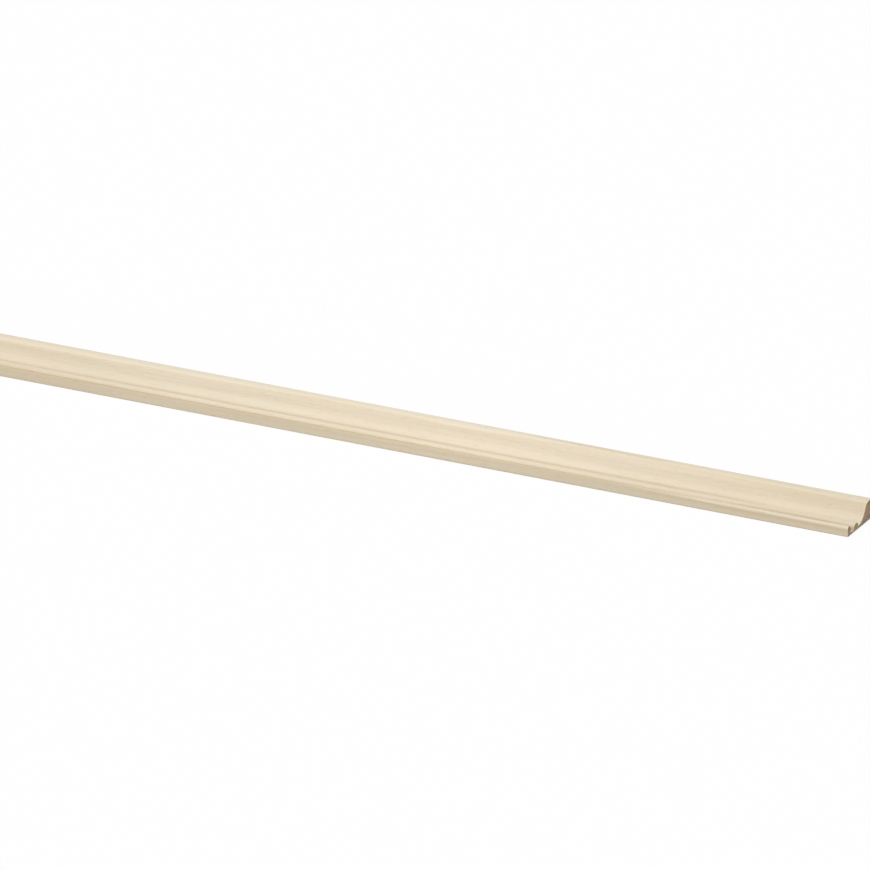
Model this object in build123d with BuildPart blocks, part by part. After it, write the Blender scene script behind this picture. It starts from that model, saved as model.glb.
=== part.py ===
from build123d import *
import os
from math import acos, degrees, sin

# Decorative wood moulding: one strip planed from a rectangular blank, with a constant section.
# Millimetres. X runs along the strip, Y across it from the low front edge (-Y) to the tall rear
# edge (+Y), and Z up from the flat back that it lies on. The origin is the middle of the back.

# Strip
LENGTH = 2400
WIDTH = 32
HEIGHT = 12
ARRIS_RADIUS = 0.4

# Nosing along the front edge, rounded more to the rear than to the front
NOSING_WIDTH = 4.2
NOSING_HEIGHT = 6.2
NOSING_FRONT_RADIUS = 1.3

# Sunk fillet behind the nosing, and the wood left under it
QUIRK_WIDTH = 3.7
QUIRK_FLOOR = 1.4

# Half-round bead that stands on the floor of the quirk
BEAD_WIDTH = 6.4

# Ogee: a hollow that rises from the floor of the quirk, then a round, then the flat along the top
HOLLOW_RADIUS = 12.4
ROUND_RADIUS = 5.2
TOP_FLAT_WIDTH = 3.9

# Places across the section, from the front edge back
front = -WIDTH / 2
rear = WIDTH / 2
nosing_rear = front + NOSING_WIDTH
nosing_rear_radius = NOSING_WIDTH - NOSING_FRONT_RADIUS
bead_radius = BEAD_WIDTH / 2
bead_middle = nosing_rear + QUIRK_WIDTH + bead_radius

# Hollow and round turn through the same angle, so the ogee leaves the floor and meets the top level
ogee_rise = HEIGHT - QUIRK_FLOOR
ogee_turn = acos(1 - ogee_rise / (HOLLOW_RADIUS + ROUND_RADIUS))
ogee_run = (HOLLOW_RADIUS + ROUND_RADIUS) * sin(ogee_turn)
ogee_start = rear - TOP_FLAT_WIDTH - ogee_run

os.makedirs("parts", exist_ok=True)

with BuildPart() as moulding:
    with BuildSketch(Plane.YZ) as section:
        # Wood left under the whole width
        Rectangle(WIDTH, QUIRK_FLOOR, align=(Align.CENTER, Align.MIN))
        # Nosing: upright front and back, round on top
        with BuildLine():
            upright = Line((front, 0), (front, NOSING_HEIGHT - NOSING_FRONT_RADIUS))
            rise = JernArc(upright @ 1, (0, 1), NOSING_FRONT_RADIUS, -90)
            fall = JernArc(rise @ 1, (1, 0), nosing_rear_radius, -90)
            Polyline(fall @ 1, (nosing_rear, 0), (front, 0))
        make_face()
        # Bead
        with Locations((bead_middle, QUIRK_FLOOR)):
            Circle(bead_radius)
        # Ogee, which runs down behind the bead and meets it in a sharp quirk
        with BuildLine():
            hollow = JernArc((ogee_start, QUIRK_FLOOR), (1, 0), HOLLOW_RADIUS, degrees(ogee_turn))
            crown = JernArc(hollow @ 1, hollow % 1, ROUND_RADIUS, -degrees(ogee_turn))
            Polyline(crown @ 1, (rear, HEIGHT), (rear, 0), (ogee_start, 0), hollow @ 0)
        make_face()
        # Sawn blank with eased arrises, which bounds the section
        RectangleRounded(
            WIDTH, HEIGHT, ARRIS_RADIUS, align=(Align.CENTER, Align.MIN), mode=Mode.INTERSECT
        )
    extrude(amount=LENGTH / 2, both=True)

moulding.part.label = "moulding"
export_step(moulding.part, "parts/moulding.step")
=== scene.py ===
from math import acos, cos, pi, radians, sin, sqrt

import bpy
import numpy as np
from mathutils import Matrix, Vector
from mathutils.geometry import delaunay_2d_cdt


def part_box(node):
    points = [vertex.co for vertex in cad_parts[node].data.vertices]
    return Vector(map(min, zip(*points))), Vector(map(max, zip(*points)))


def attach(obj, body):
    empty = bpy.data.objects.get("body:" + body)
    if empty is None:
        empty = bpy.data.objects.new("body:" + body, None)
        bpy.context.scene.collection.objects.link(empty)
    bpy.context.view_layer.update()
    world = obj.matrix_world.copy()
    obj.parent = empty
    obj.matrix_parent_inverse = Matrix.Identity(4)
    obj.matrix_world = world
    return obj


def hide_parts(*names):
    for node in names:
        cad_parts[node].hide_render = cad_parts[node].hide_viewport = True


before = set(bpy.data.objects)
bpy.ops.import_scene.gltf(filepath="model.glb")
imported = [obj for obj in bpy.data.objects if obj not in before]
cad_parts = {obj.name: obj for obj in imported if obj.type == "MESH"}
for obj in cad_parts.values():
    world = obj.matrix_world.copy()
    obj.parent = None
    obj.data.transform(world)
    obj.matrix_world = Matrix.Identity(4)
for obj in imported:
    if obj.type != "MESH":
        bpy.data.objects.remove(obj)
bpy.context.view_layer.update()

# Metres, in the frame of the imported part: X along the strip, Y across it from the low front edge
# to the tall rear edge, Z up from the flat back.
MM = 0.001
low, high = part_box("moulding")
LENGTH, WIDTH, HEIGHT = high - low

# Section, as in the part's source
ARRIS_RADIUS = 0.4 * MM
NOSING_WIDTH = 4.2 * MM
NOSING_HEIGHT = 6.2 * MM
NOSING_FRONT_RADIUS = 1.3 * MM
QUIRK_WIDTH = 3.7 * MM
QUIRK_FLOOR = 1.4 * MM
BEAD_WIDTH = 6.4 * MM
HOLLOW_RADIUS = 12.4 * MM
ROUND_RADIUS = 5.2 * MM
TOP_FLAT_WIDTH = 3.9 * MM

# Mesh: spacing of the points round the section, of the rings along the strip, and on a cut end, how far the
# cut eases the rim, and the angle from which an edge is drawn sharp
STATION = 0.34 * MM
BACK_STATIONS = 36
RING = 6.2 * MM
END_RINGS = (0.12 * MM, 0.4 * MM, 1.0 * MM, 2.2 * MM)
END_GRID = 0.5 * MM
CUT_EASING = 0.08 * MM
SHARP_ANGLE = radians(38)

# Relief: how far the early wood lies below the late wood, and the saw marks with their depth, pitch, the
# middle of their arcs, and the finer marks between them
GRAIN_RELIEF = 0.03 * MM
SAW_DEPTH = 0.05 * MM
SAW_PITCH = 2.3 * MM
SAW_MIDDLE = (-60 * MM, 95 * MM)
FINE_SAW_PITCH = 0.37 * SAW_PITCH
FINE_SAW_SHARE = 0.5
FINE_SAW_TURN = 1.3

# Growth rings: place of the pith, its drift along the strip, and the waves in which it sways and lifts, each
# with its size, length and turn
PITH = (5 * MM, -68 * MM)
PITH_DRIFT = (0.009, 0.0042)
PITH_SWAY = ((1.5 * MM, 1.31, 0.65), (0.7 * MM, 0.43, 2.1))
PITH_LIFT = ((0.74 * MM, 0.83, 1.97), (0.2 * MM, 0.27, 2.27))

# Years: their width, where they start, how they grow wider and narrower, when the late wood builds up and
# stops, the wave from year to year that makes it stronger or weaker, and its share in the weakest year
RING_WIDTH = 3.77 * MM
RING_START = 3.1 * MM
RING_SWING = 0.22
RING_SWING_REACH = 4.1 * MM
LATE_RISE = (0.3, 0.88)
LATE_STOP = 0.93
YEAR_TURN = 2.2
YEAR_START = 5.5
WEAKEST_YEAR = 0.3

# Painted shade in the quirks and on the crests: how steeply a quirk is walled in before it is shaded, how far
# from a cut end the shade moves from the nosing's quirk to the bead's, the share that stays behind the
# nosing, how near to the end it thins out and to what share, how far from the end it reaches the crests, and
# its share on the nosing's and the bead's
NOSING_QUIRK_ANGLES = (radians(8), radians(40))
BEAD_QUIRK_ANGLES = (radians(1), radians(40))
PAINTED_SHADE_SHIFT = (35 * MM, 95 * MM)
PAINTED_SHADE_KEPT = 0.2
PAINTED_SHADE_FADE = 12 * MM
PAINTED_SHADE_AT_END = 0.3
CREST_SHIFT = (55 * MM, 150 * MM)
NOSING_PAINTED_SHADE = 0.75
BEAD_PAINTED_SHADE = 0.1

# Shade of the wood: reach of the grime on the arrises, painted light that swings along the strip, painted
# shade on the ends, pale cut edge, and the height over which a cut end is greyer towards the flat back
ARRIS_REACH = 1.1 * MM
PAINTED_LIGHT_SWING = 0.03
PAINTED_LIGHT_PEAK = 0.92
PAINTED_LIGHT_PERIOD = 0.62
PAINTED_END_SHADE = 0.06
PAINTED_END_SHADE_REACH = 100 * MM
CUT_EDGE = 0.9 * MM
GREY_REACH = 8 * MM

# Bake map: the strip is folded into rows along the map, and the cut ends lie above them
MAP_ROWS = 4
MAP_GAP = 0.006
MAP_ENDS = 0.06


def arc(middle, radius, start, end):
    """Points along an arc, given in degrees, without the first."""
    steps = max(3, round(abs(radians(end - start)) * radius / STATION))
    angles = np.radians(np.linspace(start, end, steps + 1)[1:])
    return np.column_stack([middle[0] + radius * np.cos(angles), middle[1] + radius * np.sin(angles)])


def run(start, end):
    """Points along a straight line, without the first."""
    steps = max(2, round(np.hypot(end[0] - start[0], end[1] - start[1]) / STATION))
    share = np.linspace(0, 1, steps + 1)[1:, None]
    return np.array(start) * (1 - share) + np.array(end) * share


def section_face():
    """The section from the front arris of the back, over the face, to its rear arris, as rows of (y, z)."""
    front, rear = -WIDTH / 2, WIDTH / 2
    nosing_rear = front + NOSING_WIDTH
    nosing_middle = front + NOSING_FRONT_RADIUS
    rise = NOSING_FRONT_RADIUS
    fall = NOSING_WIDTH - NOSING_FRONT_RADIUS
    bead_radius = BEAD_WIDTH / 2
    bead_front = nosing_rear + QUIRK_WIDTH
    bead = np.array([bead_front + bead_radius, QUIRK_FLOOR])
    radii = HOLLOW_RADIUS + ROUND_RADIUS
    turn = acos(1 - (HEIGHT - QUIRK_FLOOR) / radii)
    top_front = rear - TOP_FLAT_WIDTH
    hollow = np.array([top_front - radii * sin(turn), QUIRK_FLOOR + HOLLOW_RADIUS])
    crown = (top_front, HEIGHT - ROUND_RADIUS)

    # Where the bead runs into the hollow
    between = hollow - bead
    apart = np.hypot(*between)
    along = (bead_radius**2 - HOLLOW_RADIUS**2 + apart**2) / (2 * apart)
    across = sqrt(bead_radius**2 - along**2)
    meet = bead + (along * between + across * np.array([between[1], -between[0]])) / apart
    bead_end = np.degrees(np.arctan2(*(meet - bead)[::-1]))
    hollow_start = np.degrees(np.arctan2(*(meet - hollow)[::-1]))
    hollow_end = np.degrees(turn) - 90

    r = ARRIS_RADIUS
    return np.vstack([
        [[front + r, 0]],
        arc((front + r, r), r, 270, 180),
        run((front, r), (front, NOSING_HEIGHT - rise)),
        arc((nosing_middle, NOSING_HEIGHT - rise), rise, 180, 90),
        arc((nosing_middle, NOSING_HEIGHT - fall), fall, 90, 0),
        run((nosing_rear, NOSING_HEIGHT - fall), (nosing_rear, QUIRK_FLOOR)),
        run((nosing_rear, QUIRK_FLOOR), (bead_front, QUIRK_FLOOR)),
        arc(bead, bead_radius, 180, bead_end),
        arc(hollow, HOLLOW_RADIUS, hollow_start, hollow_end),
        arc(crown, ROUND_RADIUS, hollow_end + 180, 90),
        run((top_front, HEIGHT), (rear - r, HEIGHT)),
        arc((rear - r, HEIGHT - r), r, 90, 0),
        run((rear, HEIGHT - r), (rear, r)),
        arc((rear - r, r), r, 0, -90),
    ])


def smooth_step(value, start, end):
    """Rise from 0 at the start to 1 at the end, level at both."""
    share = np.clip((value - start) / (end - start), 0, 1)
    return share * share * (3 - 2 * share)


def waves(x, shapes):
    """Sum of waves along the strip."""
    return sum(size * np.sin(2 * pi * x / length + turn) for size, length, turn in shapes)


def ring_phase(x, y, z):
    """Growth rings counted from the pith, which wanders along the strip."""
    across = y - PITH[0] - PITH_DRIFT[0] * x - waves(x, PITH_SWAY)
    above = z - PITH[1] - PITH_DRIFT[1] * x - waves(x, PITH_LIFT)
    radius = np.hypot(across, above) - RING_START
    return radius / RING_WIDTH + RING_SWING * np.sin(radius / RING_SWING_REACH)


def late_wood(phase):
    """Share of late wood: it builds up through the year and stops short at its end."""
    year = phase % 1
    return smooth_step(year, *LATE_RISE) * np.clip((1 - year) / (1 - LATE_STOP), 0, 1)


def inward(outline):
    """Unit normals of an outline, into the wood."""
    along = np.gradient(outline, axis=0)
    along /= np.linalg.norm(along, axis=1, keepdims=True)
    return np.column_stack([along[:, 1], -along[:, 0]])


def walled_in(face, angles):
    """How deep each point lies behind what stands before it, from 0 in the open to 1 in a quirk."""
    ahead = face[:, None, 0] - face[None, :, 0]
    above = face[None, :, 1] - face[:, None, 1]
    wall = np.where(ahead > 1e-9, np.arctan2(above, np.maximum(ahead, 1e-9)), 0).max(axis=1)
    return smooth_step(wall, *angles)


def painted_quirk_shade(y, z, from_end, nosing_quirk, bead_quirk):
    """Share of painted shade: behind the nosing near the ends, and behind the bead and on the crests
    elsewhere.
    """
    nosing_rear = -WIDTH / 2 + NOSING_WIDTH
    bead_radius = BEAD_WIDTH / 2
    bead_middle = nosing_rear + QUIRK_WIDTH + bead_radius
    inner = smooth_step(from_end, *PAINTED_SHADE_SHIFT)
    outer = (1 - (1 - PAINTED_SHADE_KEPT) * inner) * np.clip(from_end / PAINTED_SHADE_FADE, PAINTED_SHADE_AT_END, 1)
    quirk_shade = np.where(y > bead_middle, bead_quirk * inner, nosing_quirk * outer)
    nosing = (y < nosing_rear) * smooth_step(z, NOSING_HEIGHT - NOSING_FRONT_RADIUS, NOSING_HEIGHT)
    bead = (z > QUIRK_FLOOR) * smooth_step(np.abs(y - bead_middle), bead_radius, 0)
    return quirk_shade + (NOSING_PAINTED_SHADE * nosing + BEAD_PAINTED_SHADE * bead) * smooth_step(from_end, *CREST_SHIFT)


def near_arris(y, z):
    """Closeness to the three sawn arrises, from 0 to 1 on them."""
    front, rear = -WIDTH / 2, WIDTH / 2
    arrises = ((front, 0), (rear, 0), (rear, HEIGHT))
    apart = [np.hypot(y - arris_y, z - arris_z) for arris_y, arris_z in arrises]
    return np.clip(1 - np.min(apart, axis=0) / ARRIS_REACH, 0, 1)


def painted_light(x, y):
    """Painted light along the strip: a slow swing of brightness, and painted shade on the ends except on the
    upright front.
    """
    from_end = LENGTH / 2 - np.abs(x)
    swing = PAINTED_LIGHT_SWING * np.cos(2 * pi * (x - PAINTED_LIGHT_PEAK) / PAINTED_LIGHT_PERIOD)
    shaded = smooth_step(y + WIDTH / 2, 0, NOSING_FRONT_RADIUS)
    return 1 + swing - PAINTED_END_SHADE * shaded * np.exp(-from_end / PAINTED_END_SHADE_REACH)


def ring_places():
    """Places of the rings along the strip, closer at its ends, and the rings that start the map's rows."""
    half = LENGTH / 2
    steps = round((LENGTH - 2 * END_RINGS[-1]) / RING)
    steps -= steps % MAP_ROWS
    middle = np.linspace(-half + END_RINGS[-1], half - END_RINGS[-1], steps + 1)
    ends = np.array((0,) + END_RINGS[:-1])
    starts = len(ends) + steps // MAP_ROWS * np.arange(MAP_ROWS)
    starts[0] = 0
    return np.concatenate([-half + ends, middle, (half - ends)[::-1]]), starts


def saw_marks(y, z):
    """Depth of the marks that the saw left on a cut end, in long arcs."""
    blade = np.hypot(y - SAW_MIDDLE[0], z - SAW_MIDDLE[1])
    coarse = np.sin(2 * pi * blade / SAW_PITCH)
    fine = np.sin(2 * pi * blade / FINE_SAW_PITCH + FINE_SAW_TURN)
    swing = (coarse + FINE_SAW_SHARE * fine) / (1 + FINE_SAW_SHARE)
    return SAW_DEPTH * (1 + swing) / 2


class StripMesh:
    """The strip as one closed mesh: rings of the section along it, and a grid on each cut end."""

    def __init__(self):
        self.face = section_face()
        back_y = np.linspace(self.face[-1, 0], self.face[0, 0], BACK_STATIONS + 1)[1:-1]
        self.outline = np.vstack([self.face, np.column_stack([back_y, np.zeros(len(back_y))])])
        closed = np.vstack([self.outline, self.outline[:1]])
        self.walked = np.concatenate([[0], np.cumsum(np.hypot(*np.diff(closed, axis=0).T))])
        self.places, self.row_starts = ring_places()
        self.points = []
        self.loops = []
        self.map = []
        self.shades = {"ring_phase": [], "painted_quirk_shade": [], "arris": [], "cut_edge": [], "painted_light": []}
        self.long_faces()
        self.first_end = len(self.loops)
        for side in (-1, 1):
            self.cut_end(side)

    def add_points(self, points, painted_shade, cut_edge):
        x, y, z = points.T
        self.points.extend(points.tolist())
        self.shades["ring_phase"].extend(ring_phase(x, y, z))
        self.shades["painted_quirk_shade"].extend(painted_shade)
        self.shades["arris"].extend(near_arris(y, z))
        self.shades["cut_edge"].extend(cut_edge)
        self.shades["painted_light"].extend(painted_light(x, y))

    def long_faces(self):
        count, rings = len(self.outline), len(self.places)
        normals = np.vstack([inward(self.face), np.tile([0.0, 1.0], (count - len(self.face), 1))])
        open_back = np.zeros(count - len(self.face))
        # How walled in each point is, for the shade painted into the quirks
        quirks = [
            np.tile(np.concatenate([walled_in(self.face, angles), open_back]), rings)
            for angles in (NOSING_QUIRK_ANGLES, BEAD_QUIRK_ANGLES)
        ]
        x = np.repeat(self.places, count)
        y, z = np.tile(self.outline, (rings, 1)).T
        from_end = LENGTH / 2 - np.abs(x)
        depth = GRAIN_RELIEF * (1 - late_wood(ring_phase(x, y, z)))
        depth[from_end < END_RINGS[0] / 2] += CUT_EASING
        push = np.tile(normals, (rings, 1)) * depth[:, None]
        points = np.column_stack([x, y + push[:, 0], z + push[:, 1]])
        cut_edge = np.clip(1 - from_end / CUT_EDGE, 0, 1)
        self.add_points(points, painted_quirk_shade(y, z, from_end, *quirks), cut_edge)

        ring, station = (grid.ravel() for grid in np.mgrid[: rings - 1, :count])
        corners = [(ring, station), (ring + 1, station), (ring + 1, station + 1), (ring, station + 1)]
        self.loops.extend(np.column_stack([r * count + s % count for r, s in corners]).tolist())

        # Map: the rows lie side by side, each with the whole way round the section
        row = np.searchsorted(self.row_starts, ring, side="right") - 1
        ends_at = np.append(self.row_starts[1:], rings - 1)
        longest = (self.places[ends_at] - self.places[self.row_starts]).max()
        height = (1 - MAP_ENDS - (MAP_ROWS + 2) * MAP_GAP) / MAP_ROWS
        for r, s in corners:
            along = (self.places[r] - self.places[self.row_starts[row]]) / longest
            across = self.walked[s] / self.walked[-1]
            u = MAP_GAP + (1 - 2 * MAP_GAP) * along
            v = MAP_GAP + row * (height + MAP_GAP) + height * across
            self.map.append(np.column_stack([u, v]))
        self.map = np.stack(self.map, axis=1).reshape(-1, 2).tolist()

    def cut_end(self, side):
        """Closes an end: the ring of the section, and a grid of points inside it that carry the saw marks."""
        count = len(self.outline)
        first = 0 if side < 0 else (len(self.places) - 1) * count
        rim = np.array(self.points)[first : first + count, 1:]
        steps = np.mgrid[0 : WIDTH : END_GRID, 0 : HEIGHT : END_GRID].reshape(2, -1).T
        grid = steps + np.array([-WIDTH / 2, 0]) + END_GRID / 2
        apart = np.linalg.norm(grid[:, None] - rim[None], axis=2).min(axis=1)
        flat = np.vstack([rim, grid[apart > END_GRID / 2]])
        corners = [Vector(point) for point in flat / MM]
        _, _, triangles, origins, _, _ = delaunay_2d_cdt(corners, [], [list(range(count))], 1, 1e-6)
        source = np.array([origin[0] for origin in origins])[np.array(triangles)]

        inner = np.unique(source[source >= count])
        index = np.arange(len(flat)) + first
        index[inner] = len(self.points) + np.arange(len(inner))
        x = side * (LENGTH / 2 - saw_marks(*flat[inner].T))
        self.add_points(np.column_stack([x, flat[inner]]), np.zeros(len(inner)), np.zeros(len(inner)))
        source = source[:, ::side]
        self.loops.extend(index[source].tolist())
        y, z = flat[source.ravel()].T
        scale = MAP_ENDS / HEIGHT
        u = 0.5 + side * (0.25 + y * scale)
        v = 1 - MAP_GAP - MAP_ENDS + z * scale
        self.map.extend(np.column_stack([u, v]).tolist())

    def build(self, name):
        mesh = bpy.data.meshes.new(name)
        mesh.from_pydata(self.points, [], self.loops)
        for shade, values in self.shades.items():
            mesh.attributes.new(shade, "FLOAT", "POINT").data.foreach_set("value", values)
        mesh.uv_layers.new(name="OFBake").data.foreach_set("uv", np.ravel(self.map))
        on_end = np.arange(len(self.loops)) >= self.first_end
        mesh.polygons.foreach_set("material_index", on_end.astype(int))
        mesh.polygons.foreach_set("use_smooth", np.ones(len(self.loops), bool))
        mesh.set_sharp_from_angle(angle=SHARP_ANGLE)
        mesh.update()
        piece = bpy.data.objects.new(name, mesh)
        bpy.context.collection.objects.link(piece)
        return piece


# Materials
def add(tree, kind, inputs=(), **settings):
    """A node with its settings made and its inputs set or linked."""
    node = tree.nodes.new("ShaderNode" + kind)
    for name, value in settings.items():
        setattr(node, name, value)
    for key, value in dict(inputs).items():
        if isinstance(value, bpy.types.NodeSocket):
            tree.links.new(value, node.inputs[key])
        else:
            node.inputs[key].default_value = value
    return node


def calc(tree, operation, first, second=0.0, third=0.0):
    """Result of one sum."""
    return add(tree, "Math", {0: first, 1: second, 2: third}, operation=operation).outputs[0]


def ranged(tree, value, start, end, to_start, to_end, smooth=False):
    """A value moved from one range to another, and held at its ends."""
    inputs = {"Value": value, "From Min": start, "From Max": end, "To Min": to_start, "To Max": to_end}
    kind = "SMOOTHSTEP" if smooth else "LINEAR"
    return add(tree, "MapRange", inputs, interpolation_type=kind).outputs["Result"]


def product(tree, values):
    """Values multiplied together."""
    total = values[0]
    for value in values[1:]:
        total = calc(tree, "MULTIPLY", total, value)
    return total


def shade(tree, name):
    """Shade stored in the mesh."""
    return add(tree, "Attribute", attribute_name=name).outputs["Fac"]


def noise(tree, place, per_metre, detail=2.0, roughness=0.5):
    """Noise with its own number of waves per metre along each axis."""
    stretched = add(tree, "VectorMath", {0: place, 1: per_metre}, operation="MULTIPLY").outputs["Vector"]
    inputs = {"Vector": stretched, "Scale": 1.0, "Detail": detail, "Roughness": roughness}
    return add(tree, "TexNoise", inputs).outputs["Fac"]


def late_share(tree, wobble):
    """Share of late wood from the rings stored in the mesh, made uneven by some noise."""
    count = calc(tree, "ADD", shade(tree, "ring_phase"), wobble)
    year = calc(tree, "FRACT", count)
    wave = calc(tree, "MULTIPLY_ADD", calc(tree, "FLOOR", count), YEAR_TURN, YEAR_START)
    return product(tree, [
        ranged(tree, year, *LATE_RISE, 0, 1, smooth=True),
        ranged(tree, year, LATE_STOP, 1, 1, 0),
        ranged(tree, calc(tree, "SINE", wave), -1, 1, WEAKEST_YEAR, 1),
    ])


def toned(tree, share, early, late, value, saturation=1.0):
    """Colour between early and late wood, and then lighter or darker, and warmer or greyer."""
    mixed = add(tree, "Mix", {0: share, 6: (*early, 1), 7: (*late, 1)}, data_type="RGBA").outputs[2]
    inputs = {"Color": mixed, "Value": value, "Saturation": saturation}
    return add(tree, "HueSaturation", inputs).outputs["Color"]


def wood(name):
    """New material with its shader, and the place on the strip in metres."""
    material = bpy.data.materials.new(name)
    material.use_nodes = True
    tree = material.node_tree
    shader = tree.nodes["Principled BSDF"]
    shader.inputs["Specular IOR Level"].default_value = 0.35
    place = add(tree, "TexCoord").outputs["Object"]
    return material, tree, shader, place


def raised(tree, height, distance, strength):
    """Normal of a surface with a fine height on it."""
    inputs = {"Height": height, "Distance": distance, "Strength": strength}
    return add(tree, "Bump", inputs).outputs["Normal"]


# Colours of the planed faces and the cut ends, and the heights of their fibres and pores
EARLY_WOOD = (0.80, 0.709, 0.56)
LATE_WOOD = (0.70, 0.58, 0.41)
END_EARLY = (0.55, 0.395, 0.235)
END_LATE = (0.40, 0.275, 0.16)
PLANED_BUMP = 0.03 * MM
SAWN_BUMP = 0.06 * MM


def planed_wood():
    material, tree, shader, place = wood("planed_wood")
    fibre = noise(tree, place, (26, 2300, 2300), detail=4, roughness=0.6)
    streak = noise(tree, place, (3.1, 240, 240), detail=3)
    cloud = noise(tree, place, (9, 60, 60), detail=2)
    speck = noise(tree, place, (190, 4300, 4300), detail=1)
    pore = ranged(tree, speck, 0.64, 0.74, 0, 1, smooth=True)
    wobble = ranged(tree, noise(tree, place, (7, 190, 190)), 0.25, 0.75, -0.22, 0.22)
    late = late_share(tree, wobble)
    grime = product(tree, [shade(tree, "arris"), ranged(tree, cloud, 0.35, 0.65, 0.3, 1)])
    # Painted shade: the quirks and crests are darkened and warmed in the colour
    painted_shade = shade(tree, "painted_quirk_shade")
    # Painted light: brightness swings along the strip, with painted shade on the ends, which are warmer there
    painted_light_level = shade(tree, "painted_light")
    value = product(tree, [
        ranged(tree, fibre, 0.3, 0.7, 0.97, 1.03),
        ranged(tree, streak, 0.3, 0.7, 0.975, 1.02),
        ranged(tree, cloud, 0.3, 0.7, 0.985, 1.015),
        ranged(tree, pore, 0, 1, 1, 0.86),
        ranged(tree, painted_shade, 0, 1, 1, 0.72),
        ranged(tree, grime, 0, 1, 1, 0.86),
        ranged(tree, shade(tree, "cut_edge"), 0, 1, 1, 1.1),
        painted_light_level,
    ])
    warmth = product(tree, [
        ranged(tree, painted_shade, 0, 1, 1, 1.36),
        ranged(tree, painted_light_level, 0.94, 1, 1.12, 1),
        ranged(tree, pore, 0, 1, 1, 1.4),
    ])
    share = product(tree, [late, ranged(tree, streak, 0.3, 0.7, 0.75, 0.4)])
    tree.links.new(toned(tree, share, EARLY_WOOD, LATE_WOOD, value, warmth), shader.inputs["Base Color"])
    tree.links.new(ranged(tree, fibre, 0.3, 0.7, 0.66, 0.5), shader.inputs["Roughness"])
    height = calc(tree, "SUBTRACT", calc(tree, "ADD", fibre, calc(tree, "MULTIPLY", late, 0.6)), pore)
    tree.links.new(raised(tree, height, PLANED_BUMP, 0.5), shader.inputs["Normal"])
    return material


def sawn_end():
    material, tree, shader, place = wood("sawn_end")
    coarse = noise(tree, place, (120, 420, 420), detail=3)
    wobble = ranged(tree, coarse, 0.25, 0.75, -0.2, 0.2)
    late = late_share(tree, wobble)
    flat = add(tree, "VectorMath", {0: place, 1: (0.05, 1, 1)}, operation="MULTIPLY").outputs["Vector"]
    cells = add(tree, "TexVoronoi", {"Vector": flat, "Scale": 2100.0}, feature="F1").outputs["Distance"]
    pore = ranged(tree, cells, 0.16, 0.34, 1, 0, smooth=True)
    upright = add(tree, "VectorMath", {0: place, 1: (0, 1, 1)}, operation="MULTIPLY").outputs["Vector"]
    blade = add(tree, "VectorMath", {0: upright, 1: (0, *SAW_MIDDLE)}, operation="DISTANCE").outputs["Value"]
    swing = calc(tree, "SINE", calc(tree, "MULTIPLY", blade, 2 * pi / FINE_SAW_PITCH))
    fuzz = noise(tree, place, (900, 900, 900), detail=4, roughness=0.65)
    value = product(tree, [
        ranged(tree, coarse, 0.3, 0.7, 0.92, 1.07),
        ranged(tree, fuzz, 0.3, 0.7, 0.9, 1.1),
        ranged(tree, swing, -1, 1, 0.96, 1.04),
        ranged(tree, pore, 0, 1, 1, 0.72),
    ])
    above_back = add(tree, "SeparateXYZ", {"Vector": place}).outputs["Z"]
    greyed = ranged(tree, above_back, 0, GREY_REACH, 0.68, 1)
    tree.links.new(toned(tree, late, END_EARLY, END_LATE, value, greyed), shader.inputs["Base Color"])
    tree.links.new(ranged(tree, fuzz, 0.3, 0.7, 0.92, 0.78), shader.inputs["Roughness"])
    height = calc(tree, "SUBTRACT", calc(tree, "ADD", fuzz, calc(tree, "MULTIPLY", swing, 0.4)), pore)
    tree.links.new(raised(tree, height, SAWN_BUMP, 0.6), shader.inputs["Normal"])
    return material


strip = StripMesh().build("moulding_strip")
strip.data.materials.append(planed_wood())
strip.data.materials.append(sawn_end())
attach(strip, "root")
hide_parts("moulding")


# Stage: a pale floor, which shows whiter than it lights the strip, and soft studio light
FLOOR_SIZE = 60.0
FLOOR_DROP = 0.05 * MM
FLOOR_BOUNCE = (0.515, 0.47, 0.39)
FLOOR_SHOWN = (0.95, 0.95, 0.95)
FLOOR_WHITE = 0.9
WORLD_LIGHT = 0.5
SUN_STRENGTH = 1.87
SUN_SOFTNESS = radians(100)
SUN_FROM = Vector((-0.35, -0.43, 0.83))


def seen(tree):
    """A value that is 1 for what the camera sees, straight or in a gloss, and 0 for other light."""
    path = add(tree, "LightPath")
    total = path.outputs["Is Camera Ray"]
    for name in ("Is Glossy Ray", "Is Transmission Ray"):
        total = calc(tree, "MAXIMUM", total, path.outputs[name])
    return total


scene = bpy.context.scene
scene.view_settings.view_transform = "Standard"

world = bpy.data.worlds.new("studio")
scene.world = world
world.use_nodes = True
tree = world.node_tree
background = tree.nodes["Background"]
background.inputs["Color"].default_value = (1, 1, 1, 1)
tree.links.new(ranged(tree, seen(tree), 0, 1, WORLD_LIGHT, 1), background.inputs["Strength"])

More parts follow.
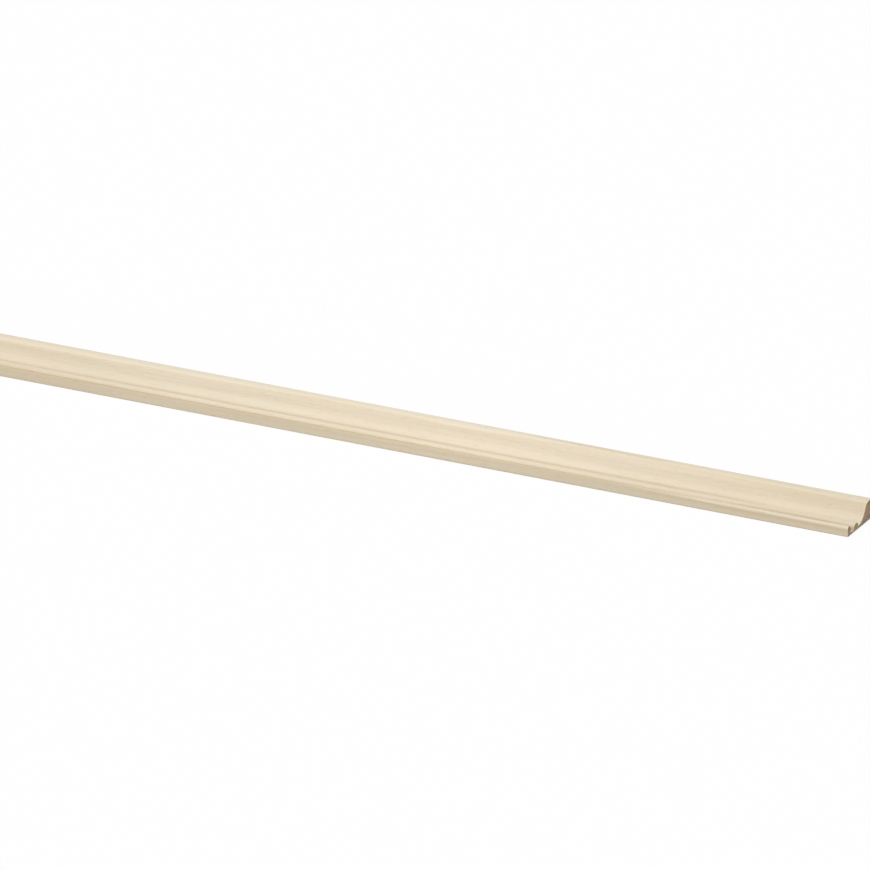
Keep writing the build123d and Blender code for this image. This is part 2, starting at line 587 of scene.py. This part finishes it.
half = FLOOR_SIZE / 2
floor_corners = ((-half, -half), (half, -half), (half, half), (-half, half))
floor_mesh = bpy.data.meshes.new("floor")
floor_mesh.from_pydata([(x, y, -FLOOR_DROP) for x, y in floor_corners], [], [(0, 1, 2, 3)])
floor = bpy.data.objects.new("floor", floor_mesh)
bpy.context.collection.objects.link(floor)
floor_material = bpy.data.materials.new("pale_floor")
floor_material.use_nodes = True
tree = floor_material.node_tree
tree.nodes.clear()
output = add(tree, "OutputMaterial")
bounce = add(tree, "BsdfDiffuse", {"Color": (*FLOOR_BOUNCE, 1)})
shown = add(tree, "BsdfDiffuse", {"Color": (*FLOOR_SHOWN, 1)})
white = add(tree, "Emission")
pale = add(tree, "MixShader", {0: FLOOR_WHITE, 1: shown.outputs["BSDF"], 2: white.outputs["Emission"]})
pick = add(tree, "MixShader", {0: seen(tree), 1: bounce.outputs["BSDF"], 2: pale.outputs["Shader"]})
tree.links.new(pick.outputs["Shader"], output.inputs["Surface"])
floor_mesh.materials.append(floor_material)

sun_data = bpy.data.lights.new("sun", "SUN")
sun_data.energy = SUN_STRENGTH
sun_data.angle = SUN_SOFTNESS
sun = bpy.data.objects.new("sun", sun_data)
sun.rotation_mode = "QUATERNION"
sun.rotation_quaternion = SUN_FROM.to_track_quat("Z", "Y")
bpy.context.collection.objects.link(sun)

# Camera: a long lens, placed so that the strip's front right corner falls on its pixel
IMAGE = 870
AZIMUTH = radians(26.1)
ELEVATION = radians(22.78)
PIXEL = 0.566 * MM
CORNER_PIXEL = (847.7, 537.4)
LENS = 1000
SENSOR = 36

towards = Vector((sin(AZIMUTH) * cos(ELEVATION), -cos(AZIMUTH) * cos(ELEVATION), sin(ELEVATION)))
right = Vector((cos(AZIMUTH), sin(AZIMUTH), 0))
up = towards.cross(right)
corner = Vector((high[0], low[1], low[2]))
aim = corner - right * (CORNER_PIXEL[0] - IMAGE / 2) * PIXEL - up * (IMAGE / 2 - CORNER_PIXEL[1]) * PIXEL
camera_data = bpy.data.cameras.new("camera")
camera_data.lens = LENS
camera_data.sensor_width = SENSOR
camera_data.clip_end = 100
camera = bpy.data.objects.new("camera", camera_data)
distance = LENS / SENSOR * IMAGE * PIXEL
turned = Matrix((right, up, towards)).transposed().to_4x4()
camera.matrix_world = Matrix.Translation(aim + towards * distance) @ turned
bpy.context.collection.objects.link(camera)
scene.camera = camera
